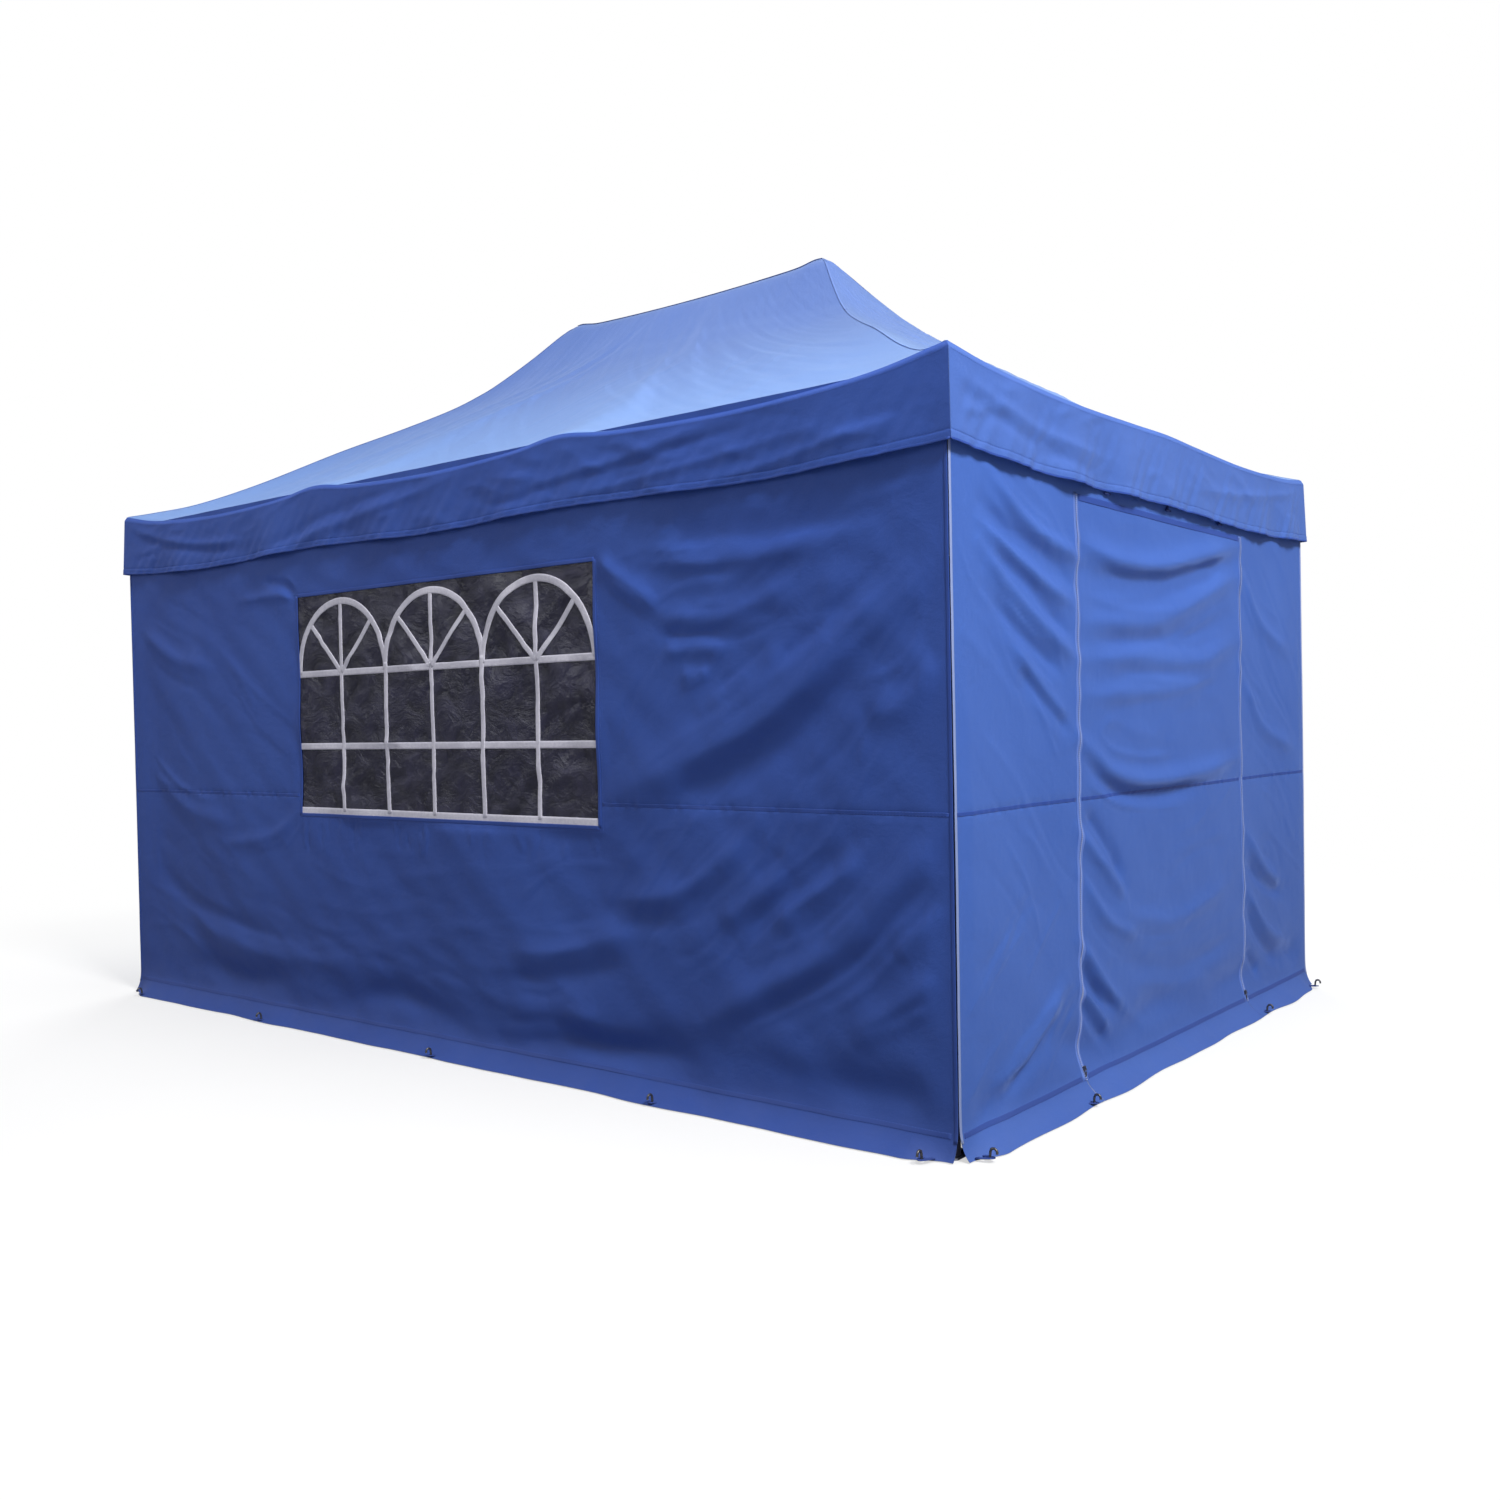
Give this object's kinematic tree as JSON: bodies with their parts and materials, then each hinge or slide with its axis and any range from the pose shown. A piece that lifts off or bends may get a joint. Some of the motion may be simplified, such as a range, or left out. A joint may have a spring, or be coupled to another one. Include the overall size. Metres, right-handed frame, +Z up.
{
  "type": "pop up gazebo",
  "caption": "Folding gazebo: scissor truss frame on telescopic legs, hipped cloth canopy with twin peaks, side walls, arched clear window and a zipped door that lifts.",
  "frame": {"origin": "centre of the footprint, on the ground", "axes": "+X along the long side, towards the wall with the door; +Y along the short side, away from the wall with the window; +Z up"},
  "size_m": [4.588, 3.19, 3.203],
  "materials": {
    "frame_steel": "light grey hammertone powder coat",
    "inner_leg_steel": "light grey satin powder coat",
    "bracket_plastic": "fine grained black nylon",
    "button_plastic": "smooth",
    "canopy_cloth": "coated polyester weave, slight sheen",
    "front_wall_cloth": "coated polyester weave with a clear window",
    "wall_cloth": "coated polyester weave",
    "door_cloth": "coated polyester weave with zip edges"
  },
  "bodies": {
    "back_truss_1_falling": {"back_truss_1_falling": "frame_steel"},
    "back_truss_1_rising": {"back_truss_1_rising": "frame_steel"},
    "back_truss_2_falling": {"back_truss_2_falling": "frame_steel"},
    "back_truss_2_rising": {"back_truss_2_rising": "frame_steel"},
    "back_truss_3_falling": {"back_truss_3_falling": "frame_steel"},
    "back_truss_3_rising": {"back_truss_3_rising": "frame_steel"},
    "front_truss_1_falling": {"front_truss_1_falling": "frame_steel"},
    "front_truss_1_rising": {"front_truss_1_rising": "frame_steel"},
    "front_truss_2_falling": {"front_truss_2_falling": "frame_steel"},
    "front_truss_2_rising": {"front_truss_2_rising": "frame_steel"},
    "front_truss_3_falling": {"front_truss_3_falling": "frame_steel"},
    "front_truss_3_rising": {"front_truss_3_rising": "frame_steel"},
    "left_truss_1_falling": {"left_truss_1_falling": "frame_steel"},
    "left_truss_1_rising": {"left_truss_1_rising": "frame_steel"},
    "left_truss_2_falling": {"left_truss_2_falling": "frame_steel"},
    "left_truss_2_rising": {"left_truss_2_rising": "frame_steel"},
    "leg_button_back_left": {"leg_button_back_left": "button_plastic"},
    "leg_button_back_right": {"leg_button_back_right": "button_plastic"},
    "leg_button_front_left": {"leg_button_front_left": "button_plastic"},
    "leg_button_front_right": {"leg_button_front_right": "button_plastic"},
    "lower_leg_back_left": {"lower_leg_back_left": "inner_leg_steel"},
    "lower_leg_back_right": {"lower_leg_back_right": "inner_leg_steel"},
    "lower_leg_front_left": {"lower_leg_front_left": "inner_leg_steel"},
    "lower_leg_front_right": {"lower_leg_front_right": "inner_leg_steel"},
    "peak_hub_left_upper": {"peak_hub_left_upper": "bracket_plastic", "canopy": "canopy_cloth"},
    "peak_hub_right_upper": {"peak_hub_right_upper": "bracket_plastic"},
    "peak_pole_left": {"peak_pole_left": "frame_steel"},
    "peak_pole_right": {"peak_pole_right": "frame_steel"},
    "ridge_truss_1_falling": {"ridge_truss_1_falling": "frame_steel"},
    "ridge_truss_1_rising": {"ridge_truss_1_rising": "frame_steel"},
    "ridge_truss_2_falling": {"ridge_truss_2_falling": "frame_steel"},
    "ridge_truss_2_rising": {"ridge_truss_2_rising": "frame_steel"},
    "ridge_truss_3_falling": {"ridge_truss_3_falling": "frame_steel"},
    "ridge_truss_3_rising": {"ridge_truss_3_rising": "frame_steel"},
    "right_truss_1_falling": {"right_truss_1_falling": "frame_steel"},
    "right_truss_1_rising": {"right_truss_1_rising": "frame_steel"},
    "right_truss_2_falling": {"right_truss_2_falling": "frame_steel"},
    "right_truss_2_rising": {"right_truss_2_rising": "frame_steel"},
    "slider_back_left": {"slider_back_left": "bracket_plastic"},
    "slider_back_right": {"slider_back_right": "bracket_plastic"},
    "slider_button_back_left": {"slider_button_back_left": "button_plastic"},
    "slider_button_back_right": {"slider_button_back_right": "button_plastic"},
    "slider_button_front_left": {"slider_button_front_left": "button_plastic"},
    "slider_button_front_right": {"slider_button_front_right": "button_plastic"},
    "slider_front_left": {"slider_front_left": "bracket_plastic"},
    "slider_front_right": {"slider_front_right": "bracket_plastic"},
    "tee_bracket_left_lower": {"tee_bracket_left_lower": "bracket_plastic"},
    "tee_bracket_left_upper": {"tee_bracket_left_upper": "bracket_plastic", "wall_left": "wall_cloth"},
    "tee_bracket_right_lower": {"tee_bracket_right_lower": "bracket_plastic"},
    "tee_bracket_right_upper": {"tee_bracket_right_upper": "bracket_plastic", "wall_right": "wall_cloth"},
    "upper_leg_back_left": {"upper_leg_back_left": "frame_steel", "wall_back": "wall_cloth"},
    "upper_leg_back_right": {"upper_leg_back_right": "frame_steel"},
    "upper_leg_front_left": {"upper_leg_front_left": "frame_steel", "wall_front": "front_wall_cloth"},
    "upper_leg_front_right": {"upper_leg_front_right": "frame_steel"},
    "door_panel": {"door_panel": "door_cloth"}
  },
  "joints": [
    {"name": "frame_fold", "type": "hinge", "parent": "peak_hub_left_upper", "child": "ridge_truss_1_rising", "pos_m": [-0.715, -0.019, 2.195], "axis": [0, -1, 0], "range_deg": [0, 67.06], "deforming": ["canopy", "wall_front", "wall_back", "wall_left", "wall_right", "door_panel"]},
    {"name": "ridge_joint_12", "type": "hinge", "parent": "ridge_truss_1_rising", "child": "ridge_truss_2_falling", "pos_m": [-0.715, -0.019, 2.195], "axis": [0, 1, 0], "range_deg": [0, 134.15]},
    {"name": "ridge_cross_1", "type": "hinge", "parent": "ridge_truss_1_rising", "child": "ridge_truss_1_falling", "pos_m": [-1.43, -0.019, 1.925], "axis": [0, 1, 0], "range_deg": [0, 134.15]},
    {"name": "tee_left_upper_pivot", "type": "hinge", "parent": "ridge_truss_1_falling", "child": "tee_bracket_left_upper", "pos_m": [-2.145, -0.019, 2.195], "axis": [0, -1, 0], "range_deg": [0, 67.07]},
    {"name": "tee_left_lower_pivot", "type": "hinge", "parent": "ridge_truss_1_rising", "child": "tee_bracket_left_lower", "pos_m": [-2.145, -0.019, 1.655], "axis": [0, 1, 0], "range_deg": [0, 67.07]},
    {"name": "peak_pole_left_pivot", "type": "hinge", "parent": "ridge_truss_1_falling", "child": "peak_pole_left", "pos_m": [-0.715, -0.019, 1.655], "axis": [0, -1, 0], "range_deg": [0, 67.07]},
    {"name": "ridge_cross_2", "type": "hinge", "parent": "ridge_truss_2_falling", "child": "ridge_truss_2_rising", "pos_m": [0, -0.019, 1.925], "axis": [0, -1, 0], "range_deg": [0, 134.15]},
    {"name": "peak_pole_right_pivot", "type": "hinge", "parent": "ridge_truss_2_falling", "child": "peak_pole_right", "pos_m": [0.715, -0.019, 1.655], "axis": [0, -1, 0], "range_deg": [0, 67.07]},
    {"name": "peak_hub_right_pivot", "type": "hinge", "parent": "ridge_truss_2_rising", "child": "peak_hub_right_upper", "pos_m": [0.715, -0.019, 2.195], "axis": [0, 1, 0], "range_deg": [0, 67.07]},
    {"name": "ridge_joint_23", "type": "hinge", "parent": "ridge_truss_2_rising", "child": "ridge_truss_3_falling", "pos_m": [0.715, -0.019, 2.195], "axis": [0, 1, 0], "range_deg": [0, 134.15]},
    {"name": "ridge_cross_3", "type": "hinge", "parent": "ridge_truss_3_falling", "child": "ridge_truss_3_rising", "pos_m": [1.43, -0.019, 1.925], "axis": [0, -1, 0], "range_deg": [0, 134.15]},
    {"name": "tee_right_upper_pivot", "type": "hinge", "parent": "ridge_truss_3_rising", "child": "tee_bracket_right_upper", "pos_m": [2.145, -0.019, 2.195], "axis": [0, 1, 0], "range_deg": [0, 67.07]},
    {"name": "tee_right_lower_pivot", "type": "hinge", "parent": "ridge_truss_3_falling", "child": "tee_bracket_right_lower", "pos_m": [2.145, -0.019, 1.655], "axis": [0, -1, 0], "range_deg": [0, 67.07]},
    {"name": "left_bar_1r_tee", "type": "hinge", "parent": "tee_bracket_left_upper", "child": "left_truss_1_rising", "pos_m": [-2.2, -0.025, 2.195], "axis": [1, 0, 0], "range_deg": [0, 67.07]},
    {"name": "left_cross_1", "type": "hinge", "parent": "left_truss_1_rising", "child": "left_truss_1_falling", "pos_m": [-2.2, -0.74, 1.925], "axis": [-1, 0, 0], "range_deg": [0, 134.15]},
    {"name": "upper_leg_front_left_pivot", "type": "hinge", "parent": "left_truss_1_falling", "child": "upper_leg_front_left", "pos_m": [-2.2, -1.455, 2.195], "axis": [1, 0, 0], "range_deg": [0, 67.07]},
    {"name": "slider_front_left_pivot", "type": "hinge", "parent": "left_truss_1_rising", "child": "slider_front_left", "pos_m": [-2.2, -1.455, 1.655], "axis": [-1, 0, 0], "range_deg": [0, 67.07]},
    {"name": "left_bar_2f_tee", "type": "hinge", "parent": "tee_bracket_left_upper", "child": "left_truss_2_falling", "pos_m": [-2.2, 0.025, 2.195], "axis": [-1, 0, 0], "range_deg": [0, 67.07]},
    {"name": "left_cross_2", "type": "hinge", "parent": "left_truss_2_falling", "child": "left_truss_2_rising", "pos_m": [-2.2, 0.74, 1.925], "axis": [1, 0, 0], "range_deg": [0, 134.15]},
    {"name": "upper_leg_back_left_pivot", "type": "hinge", "parent": "left_truss_2_rising", "child": "upper_leg_back_left", "pos_m": [-2.2, 1.455, 2.195], "axis": [-1, 0, 0], "range_deg": [0, 67.07]},
    {"name": "slider_back_left_pivot", "type": "hinge", "parent": "left_truss_2_falling", "child": "slider_back_left", "pos_m": [-2.2, 1.455, 1.655], "axis": [1, 0, 0], "range_deg": [0, 67.07]},
    {"name": "right_bar_1r_tee", "type": "hinge", "parent": "tee_bracket_right_upper", "child": "right_truss_1_rising", "pos_m": [2.2, -0.025, 2.195], "axis": [1, 0, 0], "range_deg": [0, 67.07]},
    {"name": "right_cross_1", "type": "hinge", "parent": "right_truss_1_rising", "child": "right_truss_1_falling", "pos_m": [2.2, -0.74, 1.925], "axis": [-1, 0, 0], "range_deg": [0, 134.15]},
    {"name": "upper_leg_front_right_pivot", "type": "hinge", "parent": "right_truss_1_falling", "child": "upper_leg_front_right", "pos_m": [2.2, -1.455, 2.195], "axis": [1, 0, 0], "range_deg": [0, 67.07]},
    {"name": "slider_front_right_pivot", "type": "hinge", "parent": "right_truss_1_rising", "child": "slider_front_right", "pos_m": [2.2, -1.455, 1.655], "axis": [-1, 0, 0], "range_deg": [0, 67.07]},
    {"name": "right_bar_2f_tee", "type": "hinge", "parent": "tee_bracket_right_upper", "child": "right_truss_2_falling", "pos_m": [2.2, 0.025, 2.195], "axis": [-1, 0, 0], "range_deg": [0, 67.07]},
    {"name": "right_cross_2", "type": "hinge", "parent": "right_truss_2_falling", "child": "right_truss_2_rising", "pos_m": [2.2, 0.74, 1.925], "axis": [1, 0, 0], "range_deg": [0, 134.15]},
    {"name": "upper_leg_back_right_pivot", "type": "hinge", "parent": "right_truss_2_rising", "child": "upper_leg_back_right", "pos_m": [2.2, 1.455, 2.195], "axis": [-1, 0, 0], "range_deg": [0, 67.07]},
    {"name": "slider_back_right_pivot", "type": "hinge", "parent": "right_truss_2_falling", "child": "slider_back_right", "pos_m": [2.2, 1.455, 1.655], "axis": [1, 0, 0], "range_deg": [0, 67.07]},
    {"name": "front_bar_1f_leg", "type": "hinge", "parent": "upper_leg_front_left", "child": "front_truss_1_falling", "pos_m": [-2.145, -1.51, 2.195], "axis": [0, 1, 0], "range_deg": [0, 67.07]},
    {"name": "front_cross_1", "type": "hinge", "parent": "front_truss_1_falling", "child": "front_truss_1_rising", "pos_m": [-1.43, -1.51, 1.925], "axis": [0, -1, 0], "range_deg": [0, 134.15]},
    {"name": "front_joint_12", "type": "hinge", "parent": "front_truss_1_rising", "child": "front_truss_2_falling", "pos_m": [-0.715, -1.51, 2.195], "axis": [0, 1, 0], "range_deg": [0, 134.15]},
    {"name": "front_bar_3r_leg", "type": "hinge", "parent": "upper_leg_front_right", "child": "front_truss_3_rising", "pos_m": [2.145, -1.51, 2.195], "axis": [0, -1, 0], "range_deg": [0, 67.07]},
    {"name": "front_cross_3", "type": "hinge", "parent": "front_truss_3_rising", "child": "front_truss_3_falling", "pos_m": [1.43, -1.51, 1.925], "axis": [0, 1, 0], "range_deg": [0, 134.15]},
    {"name": "front_joint_23", "type": "hinge", "parent": "front_truss_3_falling", "child": "front_truss_2_rising", "pos_m": [0.715, -1.51, 2.195], "axis": [0, -1, 0], "range_deg": [0, 134.15]},
    {"name": "back_bar_1f_leg", "type": "hinge", "parent": "upper_leg_back_left", "child": "back_truss_1_falling", "pos_m": [-2.145, 1.51, 2.195], "axis": [0, 1, 0], "range_deg": [0, 67.07]},
    {"name": "back_cross_1", "type": "hinge", "parent": "back_truss_1_falling", "child": "back_truss_1_rising", "pos_m": [-1.43, 1.51, 1.925], "axis": [0, -1, 0], "range_deg": [0, 134.15]},
    {"name": "back_joint_12", "type": "hinge", "parent": "back_truss_1_rising", "child": "back_truss_2_falling", "pos_m": [-0.715, 1.51, 2.195], "axis": [0, 1, 0], "range_deg": [0, 134.15]},
    {"name": "back_bar_3r_leg", "type": "hinge", "parent": "upper_leg_back_right", "child": "back_truss_3_rising", "pos_m": [2.145, 1.51, 2.195], "axis": [0, -1, 0], "range_deg": [0, 67.07]},
    {"name": "back_cross_3", "type": "hinge", "parent": "back_truss_3_rising", "child": "back_truss_3_falling", "pos_m": [1.43, 1.51, 1.925], "axis": [0, 1, 0], "range_deg": [0, 134.15]},
    {"name": "back_joint_23", "type": "hinge", "parent": "back_truss_3_falling", "child": "back_truss_2_rising", "pos_m": [0.715, 1.51, 2.195], "axis": [0, -1, 0], "range_deg": [0, 134.15]},
    {"name": "leg_slide_front_left", "type": "slide", "parent": "upper_leg_front_left", "child": "lower_leg_front_left", "axis": [0, 0, 1], "range_m": [0, 0.54]},
    {"name": "slider_button_front_left", "type": "slide", "parent": "slider_front_left", "child": "slider_button_front_left", "axis": [1, 0, 0], "range_m": [0, 0.008]},
    {"name": "leg_button_front_left", "type": "slide", "parent": "upper_leg_front_left", "child": "leg_button_front_left", "axis": [-1, 0, 0], "range_m": [0, 0.005]},
    {"name": "leg_slide_front_right", "type": "slide", "parent": "upper_leg_front_right", "child": "lower_leg_front_right", "axis": [0, 0, 1], "range_m": [0, 0.54]},
    {"name": "slider_button_front_right", "type": "slide", "parent": "slider_front_right", "child": "slider_button_front_right", "axis": [-1, 0, 0], "range_m": [0, 0.008]},
    {"name": "leg_button_front_right", "type": "slide", "parent": "upper_leg_front_right", "child": "leg_button_front_right", "axis": [1, 0, 0], "range_m": [0, 0.005]},
    {"name": "leg_slide_back_left", "type": "slide", "parent": "upper_leg_back_left", "child": "lower_leg_back_left", "axis": [0, 0, 1], "range_m": [0, 0.54]},
    {"name": "slider_button_back_left", "type": "slide", "parent": "slider_back_left", "child": "slider_button_back_left", "axis": [1, 0, 0], "range_m": [0, 0.008]},
    {"name": "leg_button_back_left", "type": "slide", "parent": "upper_leg_back_left", "child": "leg_button_back_left", "axis": [-1, 0, 0], "range_m": [0, 0.005]},
    {"name": "leg_slide_back_right", "type": "slide", "parent": "upper_leg_back_right", "child": "lower_leg_back_right", "axis": [0, 0, 1], "range_m": [0, 0.54]},
    {"name": "slider_button_back_right", "type": "slide", "parent": "slider_back_right", "child": "slider_button_back_right", "axis": [-1, 0, 0], "range_m": [0, 0.008]},
    {"name": "leg_button_back_right", "type": "slide", "parent": "upper_leg_back_right", "child": "leg_button_back_right", "axis": [1, 0, 0], "range_m": [0, 0.005]},
    {"name": "door_flap", "type": "hinge", "parent": "tee_bracket_right_upper", "child": "door_panel", "pos_m": [2.2393, 0, 1.942], "axis": [0, -1, 0], "range_deg": [0, 85]}
  ],
  "couplings": [
    {"joint": "ridge_joint_12", "follows": "frame_fold", "ratio": 2},
    {"joint": "ridge_cross_1", "follows": "frame_fold", "ratio": 2},
    {"joint": "tee_left_upper_pivot", "follows": "frame_fold", "ratio": 1},
    {"joint": "tee_left_lower_pivot", "follows": "frame_fold", "ratio": 1},
    {"joint": "peak_pole_left_pivot", "follows": "frame_fold", "ratio": 1},
    {"joint": "ridge_cross_2", "follows": "frame_fold", "ratio": 2},
    {"joint": "peak_pole_right_pivot", "follows": "frame_fold", "ratio": 1},
    {"joint": "peak_hub_right_pivot", "follows": "frame_fold", "ratio": 1},
    {"joint": "ridge_joint_23", "follows": "frame_fold", "ratio": 2},
    {"joint": "ridge_cross_3", "follows": "frame_fold", "ratio": 2},
    {"joint": "tee_right_upper_pivot", "follows": "frame_fold", "ratio": 1},
    {"joint": "tee_right_lower_pivot", "follows": "frame_fold", "ratio": 1},
    {"joint": "left_bar_1r_tee", "follows": "frame_fold", "ratio": 1},
    {"joint": "left_cross_1", "follows": "frame_fold", "ratio": 2},
    {"joint": "upper_leg_front_left_pivot", "follows": "frame_fold", "ratio": 1},
    {"joint": "slider_front_left_pivot", "follows": "frame_fold", "ratio": 1},
    {"joint": "left_bar_2f_tee", "follows": "frame_fold", "ratio": 1},
    {"joint": "left_cross_2", "follows": "frame_fold", "ratio": 2},
    {"joint": "upper_leg_back_left_pivot", "follows": "frame_fold", "ratio": 1},
    {"joint": "slider_back_left_pivot", "follows": "frame_fold", "ratio": 1},
    {"joint": "right_bar_1r_tee", "follows": "frame_fold", "ratio": 1},
    {"joint": "right_cross_1", "follows": "frame_fold", "ratio": 2},
    {"joint": "upper_leg_front_right_pivot", "follows": "frame_fold", "ratio": 1},
    {"joint": "slider_front_right_pivot", "follows": "frame_fold", "ratio": 1},
    {"joint": "right_bar_2f_tee", "follows": "frame_fold", "ratio": 1},
    {"joint": "right_cross_2", "follows": "frame_fold", "ratio": 2},
    {"joint": "upper_leg_back_right_pivot", "follows": "frame_fold", "ratio": 1},
    {"joint": "slider_back_right_pivot", "follows": "frame_fold", "ratio": 1},
    {"joint": "front_bar_1f_leg", "follows": "frame_fold", "ratio": 1},
    {"joint": "front_cross_1", "follows": "frame_fold", "ratio": 2},
    {"joint": "front_joint_12", "follows": "frame_fold", "ratio": 2},
    {"joint": "front_bar_3r_leg", "follows": "frame_fold", "ratio": 1},
    {"joint": "front_cross_3", "follows": "frame_fold", "ratio": 2},
    {"joint": "front_joint_23", "follows": "frame_fold", "ratio": 2},
    {"joint": "back_bar_1f_leg", "follows": "frame_fold", "ratio": 1},
    {"joint": "back_cross_1", "follows": "frame_fold", "ratio": 2},
    {"joint": "back_joint_12", "follows": "frame_fold", "ratio": 2},
    {"joint": "back_bar_3r_leg", "follows": "frame_fold", "ratio": 1},
    {"joint": "back_cross_3", "follows": "frame_fold", "ratio": 2},
    {"joint": "back_joint_23", "follows": "frame_fold", "ratio": 2}
  ]
}
